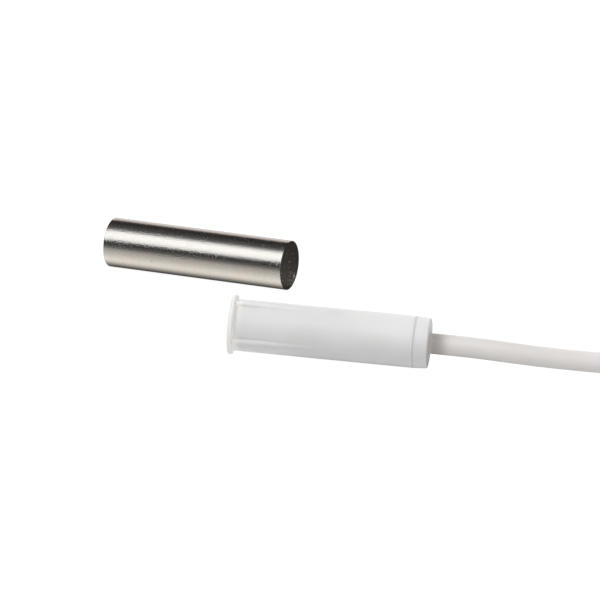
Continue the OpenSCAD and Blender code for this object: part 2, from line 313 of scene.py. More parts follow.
# White moulded plastic of the housing and the cap, with painted light and painted shade in its
# tones. A pattern is its scale, detail, roughness and stretch, as in the finishes below. A moulding
# is the reach of light in the plastic, the tone at its seam (a painted light on the housing, the
# plain dark tone on the cap) and what is added to the cloud's scale.
plastic = {
    "light": colour(0.812, 0.812, 0.812), "dark": colour(0.772, 0.772, 0.768),
    # the flange and rear tones are painted shade; the corner, seam and back tones are painted light
    "flange": colour(0.735, 0.72, 0.695), "corner": colour(0.99, 0.965, 0.92),
    "seam": colour(0.99, 0.985, 0.98), "back": colour(0.87, 0.87, 0.865),
    "rear": colour(0.68, 0.67, 0.66), "rimSpan": (0.0, 0.00065),
    "cornerLightSpan": (0.001, 0.0022), "seamSpan": (0.0, 0.0005), "backLightSpan": (0.015, 0.027),
    "upperSpan": (-0.001, 0.0025), "rearShadeSpan": (0.03073, 0.0308),
    "cloud": (160.0, 3.0), "grain": (5200.0, 2.0), "drag": (1900.0, 2.0, 0.5, (0.12, 1.0, 1.0)),
    "roughness": {"base": 0.50, "cloud": 0.10, "grain": 0.06},
    "height": {"grain": 0.6, "drag": 0.4}, "bumpDepth": 4e-6,
    "ior": 1.45, "scatter": 0.9, "scatterReach": (1.0, 0.96, 0.9),
    "mouldings": {"housingAbs": (0.0008, "seam", 0.0), "capAbs": (0.0002, "dark", 25.0)},
}


def makePlastic(name, reach, seamTone, scaleMore):
    # clouds mix the light and the dark tone. Bands along the switch paint light and shade into it: a
    # painted light at the back above its middle, a painted shade on the rear face below it, a
    # painted shade on the flange that runs to a painted light in the corner behind it, where light
    # comes through the thin flange, and one at the seam, a painted light on the housing where thin
    # edges lose light and the plain dark tone on the cap.
    material, shader, at = startFinish(name, switchPlace, switchTurn)
    x = at.part("X")
    upper = at.part("Z").step(*plastic["upperSpan"])
    scale, detail = plastic["cloud"]
    cloud = at.noise(scale + scaleMore, detail)
    grain, drag = at.noise(*plastic["grain"]), at.noise(*plastic["drag"])
    tone = cloud.step(*patternSpan).tone(plastic["dark"], plastic["light"])
    # painted light on the upper back of the barrel and the cap
    tone = (x.step(*plastic["backLightSpan"]) * upper).tone(tone, plastic["back"])
    # painted shade on the lower part of the cap's rear face
    tone = (x.step(*plastic["rearShadeSpan"]) * (1 - upper)).tone(tone, plastic["rear"])
    # painted shade on the flange, running to painted light in the corner behind it
    flangeShadeAndLight = x.step(*plastic["rimSpan"]).tone(plastic["flange"], plastic["corner"])
    tone = x.step(*plastic["cornerLightSpan"]).tone(flangeShadeAndLight, tone)
    # painted light at the housing's seam; the cap takes its plain dark tone there
    fromSeam = (x - switch["seam"] * mm).math("ABSOLUTE")
    tone = fromSeam.step(*plastic["seamSpan"]).tone(plastic[seamTone], tone)
    share = plastic["roughness"]
    rough = share["base"] + share["cloud"] * cloud.swing() + share["grain"] * grain.swing()
    height = plastic["height"]["grain"] * grain + plastic["height"]["drag"] * drag
    setShader(shader, {"Base Color": tone, "Roughness": rough, "IOR": plastic["ior"],
                       "Subsurface Weight": plastic["scatter"],
                       "Subsurface Radius": plastic["scatterReach"],
                       "Subsurface Scale": reach}, (height, plastic["bumpDepth"]))
    return material


# Soft white jacket of the lead, with a painted light round its bend and a painted shadow of the cap
# at its root; spans are metres along it, and shares around it for the crown
jacket = {
    "light": colour(0.87, 0.84, 0.82), "dark": colour(0.81, 0.78, 0.76),
    # the tones at the root and at the exit are a painted shadow of the cap on the lead; the bend
    # tone is a painted light
    "capShadow": colour(0.56, 0.53, 0.505), "capShadowTop": colour(0.69, 0.655, 0.625),
    "exitShadow": colour(0.73, 0.695, 0.66), "bend": colour(0.94, 0.905, 0.885),
    "capShadowSpan": (0.0012, 0.0036), "exitShadowSpan": (0.0002, 0.0008),
    "bendLightRise": (0.014, 0.028), "bendLightFall": (0.034, 0.06),
    "crownRise": (0.12, 0.24), "crownFall": (0.28, 0.42), "run": (1.0, 0.01, 1.0),
    "patch": (45.0, 3.0), "grain": (3800.0, 2.0, 0.5, (1.0, 2.0, 1.0)),
    "drawn": (2600.0, 2.0, 0.5, (0.05, 1.6, 1.0)),
    "roughness": {"base": 0.45, "patch": 0.12, "grain": 0.08},
    "height": {"grain": 0.5, "drawn": 0.5}, "bumpDepth": 12e-6, "ior": 1.5,
}


def makeJacket():
    # patches mix the light and the dark tone, with a painted light round the bend in the middle of
    # its run.
    # At the cap it has a painted shadow of the cap, lighter on its crown, and a narrow, less dark
    # painted shadow at the very exit.
    material, shader, at = startFinish("leadPvc", fromUv=True)
    run = at.times(jacket["run"])  # UV holds metres along and the share around
    patch, grain, drawn = (run.noise(*jacket[key]) for key in ("patch", "grain", "drawn"))
    x, y = at.part("X"), at.part("Y")
    crown = y.step(*jacket["crownRise"]) * (1 - y.step(*jacket["crownFall"]))
    # painted light round the bend
    bend = x.step(*jacket["bendLightRise"]) * (1 - x.step(*jacket["bendLightFall"]))
    tone = patch.step(*patternSpan).tone(jacket["dark"], jacket["light"])
    tone = bend.tone(tone, jacket["bend"])
    # painted shadow of the cap on the lead, lighter on its crown and less dark at the very exit
    tone = x.step(*jacket["capShadowSpan"]).tone(crown.tone(jacket["capShadow"], jacket["capShadowTop"]), tone)
    tone = x.step(*jacket["exitShadowSpan"]).tone(jacket["exitShadow"], tone)
    share = jacket["roughness"]
    rough = share["base"] + share["patch"] * patch.swing() + share["grain"] * grain.swing()
    height = jacket["height"]["grain"] * grain + jacket["height"]["drawn"] * drawn
    setShader(shader, {"Base Color": tone, "Roughness": rough, "IOR": jacket["ior"]},
              (height, jacket["bumpDepth"]))
    return material


# Ground metal of the bar magnet, with dull speckled ends
metal = {
    "light": colour(0.70, 0.68, 0.65), "dark": colour(0.64, 0.62, 0.59),
    "endLight": colour(0.16, 0.132, 0.118), "endDark": colour(0.012, 0.009, 0.008),
    "shade": colour(0, 0, 0), "pit": colour(0.10, 0.095, 0.09), "speck": colour(0.90, 0.88, 0.86),
    "hairs": (7500.0, 0.0, 0.5, (1.0, 0.5, 0.5)), "bands": (1500.0, 3.0, 0.6, (1.0, 0.05, 0.05)),
    "cloud": (260.0, 4.0, 0.6), "peel": (5000.0, 1.0), "coarse": (5200.0, 3.0, 0.7),
    "flecks": (4200.0, 1.0), "holes": (3900.0, 1.0),
    "endInset": (0.00005, 0.00002), "peelSpan": (0.5, 0.75), "holeSpan": (0.78, 0.82),
    "fleckFall": 8, "fleckSpan": (0.68, 0.75), "shadeSpan": (-0.009, 0.007),
    "wornPlace": (0.0, 0.0021, -0.0021), "wornSpan": (0.0001, 0.0006), "wornCoarse": (0.45, 0.6),
    "sideTone": {"hairs": 0.5, "bands": 0.25, "cloud": 0.25},
    "sideRough": {"base": 0.11, "peel": 0.18, "bands": 0.04, "cloud": 0.05, "pits": 0.2},
    "endRough": {"base": 0.45, "coarse": 0.3},
    "height": {"hairs": 0.8, "peel": 0.2, "bands": 0.02, "end": 1.5}, "bumpDepth": 0.000029,
}


def makeMetal():
    # side: the shares of hairs, bands and clouds mix two tones, with dark pits. End: a coarse
    # pattern that darkens towards the table, with bright specks where flecks less a share of
    # the height stand high, and on the worn patch where the coarse pattern does.
    material, shader, at = startFinish("magnetMetal", barPlace, barTurn)
    x, z = at.part("X"), at.part("Z")
    half = bar["length"] / 2 * mm
    atEnd = x.math("ABSOLUTE").step(*(half - inset for inset in metal["endInset"]))
    hairs, bands, cloud, peel, coarse, flecks, holes = (
        at.noise(*metal[key])
        for key in ("hairs", "bands", "cloud", "peel", "coarse", "flecks", "holes"))
    across = at.times((0.0, 1.0, 1.0))
    fromWorn = across.node("ShaderNodeVectorMath", {"operation": "DISTANCE"},
                           {0: across, 1: metal["wornPlace"]}, out="Value")
    worn = 1 - fromWorn.step(*metal["wornSpan"])
    specks = ((flecks - z * metal["fleckFall"]).step(*metal["fleckSpan"])
              + worn * coarse.step(*metal["wornCoarse"])).math("MINIMUM", 1.0)
    pits = holes.step(*metal["holeSpan"])
    share = metal["sideTone"]
    side = (share["hairs"] * hairs + share["bands"] * bands
            + share["cloud"] * cloud).step(*patternSpan)
    sideTone = pits.tone(side.tone(metal["dark"], metal["light"]), metal["pit"])
    ground = coarse.step(*patternSpan).tone(metal["endDark"], metal["endLight"])
    endTone = specks.tone(z.step(*metal["shadeSpan"]).tone(metal["shade"], ground),
                          metal["speck"])
    share = metal["sideRough"]
    sideRough = (share["base"] + share["peel"] * peel.step(*metal["peelSpan"])
                 + share["bands"] * bands.swing() + share["cloud"] * cloud.swing()
                 + share["pits"] * pits)
    endRough = metal["endRough"]["base"] + metal["endRough"]["coarse"] * coarse.swing()
    share = metal["height"]
    sideHeight = share["hairs"] * hairs + share["peel"] * peel + share["bands"] * bands
    height = sideHeight * (1 - atEnd) + share["end"] * coarse * atEnd
    setShader(shader, {"Base Color": atEnd.tone(sideTone, endTone),
                       "Roughness": sideRough * (1 - atEnd) + endRough * atEnd,
                       "Metallic": 1.0}, (height, metal["bumpDepth"]))
    return material


# Plain finishes: two tones, metallic, roughness, pattern scale, depth of its bump
finishes = {
    "boardLaminate": (colour(0.03, 0.16, 0.06), colour(0.05, 0.22, 0.09), 0, 0.38, 1800, 6e-6),
    "trackCopper": (colour(0.62, 0.38, 0.20), colour(0.80, 0.56, 0.34), 1, 0.34, 2600, 4e-6),
    "solder": (colour(0.52, 0.52, 0.50), colour(0.78, 0.78, 0.76), 1, 0.26, 3400, 8e-6),
    "reedMetal": (colour(0.48, 0.47, 0.44), colour(0.68, 0.66, 0.62), 1, 0.24, 4200, 3e-6),
    "wireCopper": (colour(0.55, 0.28, 0.15), colour(0.80, 0.46, 0.28), 1, 0.34, 4600, 9e-6),
    "ringBrass": (colour(0.58, 0.42, 0.17), colour(0.78, 0.62, 0.30), 1, 0.30, 2400, 5e-6),
    "tiePlastic": (colour(0.012, 0.012, 0.013), colour(0.035, 0.035, 0.036), 0, 0.42, 1500, 9e-6),
    "tinnedWire": (colour(0.50, 0.49, 0.47), colour(0.76, 0.75, 0.72), 1, 0.30, 4000, 6e-6),
    "coreWhite": (colour(0.72, 0.72, 0.70), colour(0.84, 0.84, 0.82), 0, 0.42, 900, 7e-6),
    "coreBrown": (colour(0.085, 0.035, 0.018), colour(0.15, 0.065, 0.032), 0, 0.42, 900, 7e-6),
    "coreGreen": (colour(0.012, 0.17, 0.045), colour(0.03, 0.27, 0.08), 0, 0.42, 900, 7e-6),
    "coreYellow": (colour(0.70, 0.46, 0.02), colour(0.85, 0.60, 0.04), 0, 0.42, 900, 7e-6),
}
blend = {"cloudScale": 0.25, "cloudDetail": 3.0, "grain": (3.0, 0.6),
         "cloudShare": 0.6, "grainShare": 0.4, "grainRough": 0.15}


def makeFinish(name):
    # a cloud and a finer grain, in fixed shares, mix the two tones; the grain alone moves the
    # roughness about its level and makes the bump
    dark, light, metallic, roughness, scale, depth = finishes[name]
    material, shader, at = startFinish(name)
    cloud = at.noise(scale * blend["cloudScale"], blend["cloudDetail"])
    grain = at.noise(scale, *blend["grain"])
    mixed = (blend["cloudShare"] * cloud + blend["grainShare"] * grain).step(*patternSpan)
    setShader(shader, {"Base Color": mixed.tone(dark, light), "Metallic": metallic,
                       "Roughness": roughness + blend["grainRough"] * grain.swing()},
              (grain, depth))
    return material


# Clear glass of the reed switch
glass = {"light": colour(0.92, 0.97, 0.94), "dark": colour(0.82, 0.93, 0.87),
         "drawn": (1200.0, 2.0, 0.5, (0.1, 1.0, 1.0)), "roughness": {"base": 0.02, "drawn": 0.03},
         "ior": 1.5, "bumpDepth": 3e-6}


def makeGlass():
    # drawn streaks along the tube mix two faint greens and vary its polish
    material, shader, at = startFinish("reedGlass")
    drawn = at.noise(*glass["drawn"])
    rough = glass["roughness"]["base"] + glass["roughness"]["drawn"] * drawn
    setShader(shader, {"Base Color": drawn.tone(glass["dark"], glass["light"]),
                       "Roughness": rough, "Transmission Weight": 1.0, "IOR": glass["ior"]},
              (drawn, glass["bumpDepth"]))
    return material


materials = {name: makeFinish(name) for name in finishes}
for plasticName, moulding in plastic["mouldings"].items():
    materials[plasticName] = makePlastic(plasticName, *moulding)
materials.update(leadPvc=makeJacket(), magnetMetal=makeMetal(), reedGlass=makeGlass())
print("finishes ready")

# The lead: from the cap along the table, then wound in a flat coil, layer upon layer
lead = {
    "radius": 1.6, "sides": 20, "sway": 0.012, "lobes": 4, "twist": 26.0,
    "route": [(4, 0, 3.85), (8, 0, 3.68), (12, 0.05, 3.42), (16, 0.3, 3.12), (20, 0.9, 2.8),
              (24, 1.75, 2.5), (28, 2.65, 2.2), (32, 3.4, 1.92), (36, 3.95, 1.72),
              (40, 4.25, 1.65), (44, 4.35, 1.74), (48, 4.4, 1.9)],
    "routeSteps": 5, "coilStart": (52.0, 4.4), "startTurn": -90.0,
    "inner": 11.5, "outer": 24.5, "low": 0.4, "layers": 4,
    "turnsPerLayer": 4, "stepsPerTurn": 40, "climb": 60.0, "climbSteps": 8,
    "tailFrom": 90.0, "tailClimb": 60.0, "tailTurn": 100.0, "tailSteps": 15, "tailIn": 3.5,
    "lipScale": 0.9, "mouthDepth": 0.3, "lipAlong": (0.2, 0.5),
}
exitPoint = laid([switch["length"], 0, 0])
coilMiddle = np.array([exitPoint[0] + lead["coilStart"][0],
                       exitPoint[1] + lead["coilStart"][1] + lead["outer"], 0.0])
coilTop = lead["low"] + lead["layers"] * 2 * lead["radius"]


def polar(radius, turn, z):
    # point round the coil's middle at an angle in degrees: radius (cos a, sin a), z
    a = np.radians(turn)
    return coilMiddle + np.stack([radius * np.cos(a), radius * np.sin(a), z + 0 * a], -1)


def smoothLine(points, steps):
    # curve through the points: each stretch is a cubic whose end slopes are half the chord
    # between the points before and after
    slope = np.gradient(points, axis=0)
    t = np.linspace(0, 1, steps, endpoint=False)[None, :, None]
    a, b, p, q = (s[:, None] for s in (points[:-1], points[1:], slope[:-1], slope[1:]))
    curve = ((2 * t**3 - 3 * t**2 + 1) * a + (t**3 - 2 * t**2 + t) * p
             + (3 * t**2 - 2 * t**3) * b + (t**3 - t**2) * q)
    return np.vstack([curve.reshape(-1, 3), points[-1:]])


def leadPath():
    # a smooth line from the cap to the coil, spiral layers with climbs between, and the tail,
    # which climbs on to the top layer and draws inwards
    ahead = np.array([(x + exitPoint[0], y + exitPoint[1], z) for x, y, z in lead["route"]])
    turn, radius, outer = lead["startTurn"], lead["radius"], lead["outer"]
    start = polar(outer, np.array([turn]), lead["low"] + radius)
    stretches = [smoothLine(np.vstack([exitPoint, ahead, start]), lead["routeSteps"])]
    spin = 360.0 * lead["turnsPerLayer"]
    count = lead["turnsPerLayer"] * lead["stepsPerTurn"]
    for layer in range(lead["layers"]):
        # a spiral at one height, in on even layers and out on odd ones, then a soft climb
        t = np.linspace(0, 1, count + 1)[1:]
        ends = (outer, lead["inner"]) if layer % 2 == 0 else (lead["inner"], outer)
        height = lead["low"] + radius * (2 * layer + 1)
        stretches.append(polar(ends[0] + (ends[1] - ends[0]) * t, turn + spin * t, height))
        turn += spin
        if layer < lead["layers"] - 1:
            t = np.linspace(0, 1, lead["climbSteps"] + 1)[1:]
            stretches.append(polar(ends[1], turn + lead["climb"] * t,
                                   height + 2 * radius * soft(t)))
            turn += lead["climb"]
    t = np.linspace(0, lead["tailTurn"], lead["tailSteps"] + 1)[1:]
    rise = soft(t / lead["tailClimb"])
    stretches.append(polar(outer - lead["tailIn"] * soft(t / lead["tailTurn"]), turn + t,
                           coilTop + radius * (2 * rise - 1)))
    return np.vstack(stretches)


def tube(path, radius, sides):
    # rings square to the path: centre + radius (cos a side + sin a up), where side is level
    heading = unit(np.gradient(path, axis=0))
    side = unit(np.cross(heading, [0.0, 0.0, 1.0]))
    up = np.cross(side, heading)
    a = around(sides)[..., None]
    size = np.broadcast_to(np.asarray(radius, float), (len(path), sides))[..., None]
    return path[:, None] + size * (np.cos(a) * side[:, None] + np.sin(a) * up[:, None])


def distances(path):
    # length along the path up to each of its points
    return np.concatenate([[0], np.cumsum(np.linalg.norm(np.diff(path, axis=0), axis=1))])


route = leadPath()
leadLength = distances(route)[-1]


def makeLead():
    # radius swells a little where the four twisted cores press out: r + sway cos(4 a - twist).
    # The cut end turns in to a lip and a shallow mouth.
    run, a = distances(route)[:, None], around(lead["sides"])
    swell = np.cos(lead["lobes"] * a - 2 * np.pi * run / lead["twist"])
    size = lead["radius"] - lead["sway"] + lead["sway"] * swell
    rings = tube(route, size, lead["sides"])
    inward = lead["mouthDepth"] * unit(route[-2] - route[-1])
    lip = route[-1] + (rings[-1] - route[-1]) * lead["lipScale"]
    rings = np.concatenate([rings, [lip, lip + inward]])
    along = np.append(distances(route), leadLength + np.array(lead["lipAlong"]))
    piece = ringPiece("lead", rings, [route[0], route[-1] + inward], along=along)
    return put(piece, materials["leadPvc"], "lead_pvc", "cable", "cable_coil", "cable_tail")


leadPiece = makeLead()
print("lead wound, millimetres long:", round(float(leadLength), 1))

# Stripped cores that fan out over the coil, with bare tinned tips
cores = {
    "offset": 0.58, "radius": 0.525, "wire": 0.2, "strip": 45.0, "tip": 6.0, "fanTurn": 60.0,
    "sides": 14, "steps": 45, "tipSides": 28, "tipSteps": 50, "overlap": 0.01,
    "strands": 7, "lay": 3.0, "strandForm": (0.86, 0.14),
    "places": {"white": (1, 1, 23.0), "brown": (-1, 1, 17.0),
               "green": (1, -1, 20.0), "yellow": (-1, -1, 14.0)},
}


def corePoint(name, u):
    # leaves the jacket at its own place and spreads softly to its own radius and to the
    # coil's top, while it runs on round the coil by its length
    sideways, upward, goal = cores["places"][name]
    turn = np.degrees(cores["strip"] / goal) * u
    eased = soft(turn / cores["fanTurn"])
    fromRadius = lead["outer"] - lead["tailIn"] + sideways * cores["offset"]
    fromHeight = lead["radius"] + upward * cores["offset"]
    return polar(fromRadius + (goal - fromRadius) * eased,
                 lead["tailFrom"] + lead["tailTurn"] + turn,
                 coilTop + fromHeight + (cores["radius"] - fromHeight) * eased)


def makeCores():
    # insulated tubes up to the bare share of the strip, then wires whose strands stand out
    # round them: r (0.86 + 0.14 |cos(n a / 2 - lay)|)
    bare = 1 - cores["tip"] / cores["strip"]
    pieces, tips = [], []
    for name in cores["places"]:
        path = corePoint(name, np.linspace(0, bare, cores["steps"]))
        rings = tube(path, cores["radius"], cores["sides"])
        piece = ringPiece(name + "Core", rings, [path[0], path[-1]])
        pieces.append(put(piece, materials["core" + name.title()], "core_" + name, name + "_end"))
        path = corePoint(name, np.linspace(bare - cores["overlap"], 1, cores["tipSteps"]))
        run, a = distances(path)[:, None], around(cores["tipSides"])
        wave = np.abs(np.cos(cores["strands"] / 2 * (a - 2 * np.pi * run / cores["lay"])))
        low, more = cores["strandForm"]
        rings = tube(path, cores["wire"] * (low + more * wave), cores["tipSides"])
        tips.append(ringPiece(name + "Tip", rings, [path[0], path[-1]]))
    for piece in tips:
        pieces.append(put(piece, materials["tinnedWire"], "tinned_wire", "tinned_tips"))
    return pieces


corePieces = makeCores()

# Tie round the coil
tie = {"turn": 45.0, "width": 4.0, "thick": 0.4, "edge": 0.15, "middle": 18.0, "corner": 1.6,
       "halfWide": 6.5, "halfHigh": 4.8, "cornerSteps": 9, "flatSteps": 12, "edgeSteps": 5}


def makeTie():
    # band of rounded section carried round the coil's own rounded section: at each angle a
    # point is its corner's centre + (corner + height)(cos a, sin a), turned about the coil
    arc = np.radians(np.linspace(0, 90, tie["cornerSteps"]))
    loops, centres = [], []
    signs = [(1, 1), (-1, 1), (-1, -1), (1, -1)]
    for k, (sx, sz) in enumerate(signs):
        here = np.array([sx * tie["halfWide"], sz * tie["halfHigh"]])
        after = np.array([signs[(k + 1) % 4][0] * tie["halfWide"],
                          signs[(k + 1) % 4][1] * tie["halfHigh"]])
        loops.append(arc + k * np.pi / 2)
        centres.append(np.repeat(here[None], len(arc), 0))
        flat = np.linspace(0, 1, tie["flatSteps"])[1:-1, None]
        loops.append(np.full(len(flat), (k + 1) * np.pi / 2))
        centres.append(here + (after - here) * flat)
    a, centre = np.concatenate(loops), np.vstack(centres)
    half, r = tie["width"] / 2, tie["edge"]
    bend = np.radians(np.linspace(0, 90, tie["edgeSteps"]))
    across = np.concatenate([[-half], -half + r - r * np.cos(bend), half - r + r * np.sin(bend),
                             [half]])
    height = np.concatenate([[0], tie["thick"] - r + r * np.sin(bend),
                             tie["thick"] - r + r * np.cos(bend), [0]])
    reach = tie["corner"] + height[:, None]
    radius = tie["middle"] + centre[:, 0] + reach * np.cos(a)
    z = (lead["low"] + coilTop) / 2 + centre[:, 1] + reach * np.sin(a)
    turn = tie["turn"] + np.degrees(across / tie["middle"])[:, None] + 0 * radius
    piece = ringPiece("coilTie", polar(radius, turn, z))
    return put(piece, materials["tiePlastic"], "tie_plastic", "coil_tie")


tiePiece = makeTie()
print("cores and tie laid")


def arcPoints(x, r, radius, fromAngle, toAngle, count):
    # quarter round in the plane of a profile: centre + radius (cos a, sin a)
    a = np.radians(np.linspace(fromAngle, toAngle, count))
    return np.stack([x + radius * np.cos(a), r + radius * np.sin(a)], -1)


def spread(a, b, count):
    # points from a to b, both left out
    t = np.linspace(0, 1, count + 2)[1:-1, None]
    return np.asarray(a) + (np.asarray(b) - np.asarray(a)) * t


def turned(profile, columns):
    # each (x, r) of the profile carried round the axis: x, r cos a, r sin a
    a, x, r = around(columns), profile[:, :1], profile[:, 1:]
    return np.stack([x + 0 * a, r * np.cos(a), r * np.sin(a)], -1)


# Housing: flange, barrel, tapered grip ribs and the bore behind them. The holds are rows close
# to an edge, which keep it crisp. Columns stand close together beside each rib, in degrees.
housing = {
    "rim": 0.2, "fillet": 0.4, "bevel": 0.012, "faceHold": 0.05, "seamHold": (0.1, 0.03),
    "ribs": 4, "ribTurn": 66.0, "ribRadius": 0.39, "ribHeight": 0.5, "ribDrop": 0.54,
    "ribFrom": 0.35, "ribLength": 14.0, "ribRows": 14.6, "ribEnd": 14.9, "ribFall": 6,
    "blend": 0.045, "blendSink": 0.002, "beside": 7.5, "besideStep": 0.5, "betweenSteps": 22,
}


def housingProfile():
    # half section as (x, r) rows, from the middle of the front face round to the bore's floor;
    # each stretch ends with its count of points
    rim, outer, thick = housing["rim"], switch["flangeRadius"], switch["flangeThick"]
    radius, fillet, bevel = switch["barrelRadius"], housing["fillet"], housing["bevel"]
    seam, front, bore = switch["seam"], switch["frontWall"], radius - switch["wall"]
    hold, (farHold, nearHold) = housing["faceHold"], housing["seamHold"]
    ribRows = housing["ribRows"]
    return np.vstack([
        spread((0, 0), (0, outer - rim - hold), 12), [(0, outer - rim - hold)],
        arcPoints(rim, outer - rim, rim, 180, 90, 8),
        arcPoints(thick - rim, outer - rim, rim, 90, 0, 8),
        arcPoints(thick + fillet, radius + fillet, fillet, 180, 270, 10),
        spread((thick + fillet, radius), (ribRows, radius), 75),
        spread((ribRows, radius), (seam - bevel - farHold, radius), 12),
        [(seam - bevel - nearHold, radius)],
        arcPoints(seam - bevel, radius - bevel, bevel, 90, 0, 6),
        [(seam, radius - bevel - hold), (seam, bore)],
        spread((seam, bore), (front, bore), 6), [(front, bore)],
        spread((front, bore), (front, 0), 3),
    ])


def ribColumns():
    # angles round the barrel, close together beside each rib and wide apart between them
    step, beside = 360.0 / housing["ribs"], housing["beside"]
    near = np.arange(-beside, beside + housing["besideStep"] / 2, housing["besideStep"])
    far = np.linspace(beside, step - beside, housing["betweenSteps"])[1:-1]
    one = np.concatenate([near, far])
    return np.concatenate([one + k * step for k in range(housing["ribs"])])


def ribSurface(x, offset):
    # a cylinder of the rib's radius that sinks along the barrel: from the axis it stands at
    # c cos a + sqrt(r2 - c2 sin2 a), where c is the height of its middle at that place, and
    # beyond its sides it falls away
    drop = housing["ribDrop"] * (x - housing["ribFrom"]) / housing["ribLength"]
    c = switch["barrelRadius"] + (housing["ribHeight"] - drop) - housing["ribRadius"]
    sine, cosine = c * np.sin(offset), c * np.cos(offset)
    room = np.clip(housing["ribRadius"] ** 2 - sine ** 2, 0, None)
    outside = np.clip(np.abs(sine) - housing["ribRadius"], 0, None)
    return np.where(np.cos(offset) > 0, cosine + np.sqrt(room) - housing["ribFall"] * outside, 0)


def makeHousing():
    # the turned profile, raised to a soft maximum of its own radius and the rib's:
    # (r + rib + sqrt((r - rib)2 + blend2)) / 2
    profile, columns = housingProfile(), ribColumns()
    x, r = profile[:, :1], np.repeat(profile[:, 1:], len(columns), 1)
    step, near = 360.0 / housing["ribs"], 0.01
    offset = np.radians((columns + step / 2) % step - step / 2)[None, :]
    inRibs = ((x > switch["flangeThick"] - near) & (x < housing["ribEnd"])
              & (r > switch["barrelRadius"] - near) & (r < switch["flangeRadius"] - housing["rim"]))
    rib = ribSurface(x, offset)
    blended = 0.5 * (r + rib + np.sqrt((r - rib) ** 2 + housing["blend"] ** 2))
    r = np.where(inRibs, np.maximum(r, blended - housing["blendSink"]), r)
    a = np.radians(columns + housing["ribTurn"])[None, :]
    rings = np.stack([x + 0 * r, -r * np.cos(a), r * np.sin(a)], -1)
    poles = laid([[0, 0, 0], [switch["frontWall"], 0, 0]])
    piece = ringPiece("housingBarrel", laid(rings), poles, sharp=50)
    put(piece, materials["housingAbs"], "white_abs", "housing")


makeHousing()

# Rails inside the barrel that hold the board's edges
rails = {"inner": 2.5, "low": 0.35, "high": 0.95, "rear": 24.85, "sunk": 0.01,
         "curveSteps": 7, "lengthSteps": 12,
         "places": {"leftUpper": (-1, 1), "rightUpper": (1, 1),
                    "leftLower": (-1, -1), "rightLower": (1, -1)}}


def makeRails():
    # each is flat towards the board and follows the bore outside: y = sqrt(bore2 - z2)
    bore = switch["barrelRadius"] - switch["wall"] + rails["sunk"]
    z = np.linspace(rails["low"], rails["high"], rails["curveSteps"])
    section = np.vstack([[(rails["inner"], rails["high"]), (rails["inner"], rails["low"])],
                         np.stack([np.sqrt(bore ** 2 - z ** 2), z], -1)])
    x = np.linspace(switch["frontWall"] - rails["sunk"], rails["rear"], rails["lengthSteps"])
    x = x[:, None]
    for name, (side, up) in rails["places"].items():
        rings = np.stack([x + 0 * section[:, 0], side * section[:, 0] + 0 * x,
                          up * section[:, 1] + 0 * x], -1)
        ends = rings[[0, -1]].mean(1)
        piece = ringPiece(name + "Rail", laid(rings), laid(ends), sharp=30)
        put(piece, materials["housingAbs"], "white_abs", "housing")


makeRails()

# Rear cap with its plug and the hole for the lead
cap = {"front": 3.985, "rear": 3.87, "edge": 0.16, "frontEdge": 0.006, "faceHold": 0.3,
       "sideFrom": 0.1, "sideHold": (0.02, 0.005), "hole": 1.63, "holeEdge": 0.12,
       "plug": 3.17, "plugFrom": 25.05, "pocket": 2.03, "pocketEnd": 27.35, "columns": 96}


def makeCap():
    # half section as (x, r) rows, turned about the axis: the face at the seam, the side, the
    # rear face, the hole, the pocket for the crimp ring and the plug, each with its count
    seam, rear, plugFrom = switch["seam"], switch["length"], cap["plugFrom"]
    edge, small, lip = cap["edge"], cap["frontEdge"], cap["holeEdge"]
    side, end, mouth = cap["front"], cap["rear"], cap["hole"] + cap["holeEdge"]
    back, above = cap["sideHold"]
    profile = np.vstack([
        [(seam, cap["plug"]), (seam, side - cap["faceHold"])],
        arcPoints(seam + small, side - small, small, 180, 90, 5),
        spread((seam + cap["sideFrom"], side), (rear - edge - back, end + above), 8),
        arcPoints(rear - edge, end - edge, edge, 90, 0, 8),
        spread((rear, end - edge), (rear, mouth), 6),
        arcPoints(rear - lip, mouth, lip, 0, -90, 5),
        [(cap["pocketEnd"], cap["hole"]), (cap["pocketEnd"], cap["pocket"]),
         (plugFrom, cap["pocket"]), (plugFrom, cap["plug"])],
    ])
    piece = ringPiece("capRear", laid(turned(profile, cap["columns"])), sharp=50)
    put(piece, materials["capAbs"], "cap_abs", "rear_cap")


makeCap()
print("switch moulded")


def makeMagnet():
    # half section as (x, r) rows, turned about the axis: a flat end, a fine edge break, the
    # straight side, and the same again; each stretch ends with its count of points
    half, r, edge, hold = bar["length"] / 2, bar["radius"], bar["edge"], bar["edgeHold"]
    profile = np.vstack([
        spread((-half, 0), (-half, r - edge - hold), 8), [(-half, r - edge - hold)],
        arcPoints(-half + edge, r - edge, edge, 180, 90, 5),
        spread((-half + edge + hold, r), (half - edge - hold, r), 40),
        arcPoints(half - edge, r - edge, edge, 90, 0, 5),
        [(half, r - edge - hold)], spread((half, r - edge - hold), (half, 0), 8),
    ])
    poles = laidBar([[-half, 0, 0], [half, 0, 0]])
    piece = ringPiece("magnetBar", laidBar(turned(profile, bar["columns"])), poles, sharp=35)
    put(piece, materials["magnetMetal"], "magnet_metal", "magnet")


makeMagnet()
print("magnet ground")

# The solids inside the switch keep their shapes and take real finishes
nodeFinishes = {
    "boardLaminate": ["carrier_board"], "trackCopper": ["board_tracks"],
    "solder": ["solder_joints"], "reedGlass": ["reed_glass"],
    "reedMetal": ["front_reed_lead", "rear_reed_lead", "front_reed_blade", "rear_reed_blade"],
    "wireCopper": ["white_wire", "brown_wire", "green_wire", "yellow_wire"],
    "ringBrass": ["crimp_ring"], "leadPvc": ["lead_jacket"], "coreWhite": ["white_core"],
    "coreBrown": ["brown_core"], "coreGreen": ["green_core"], "coreYellow": ["yellow_core"],
}
for finishName, nodeNames in nodeFinishes.items():
    for nodeName in nodeNames:
        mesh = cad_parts[nodeName].data
        mesh.materials.clear()
        mesh.materials.append(materials[finishName])
print("inner solids finished")

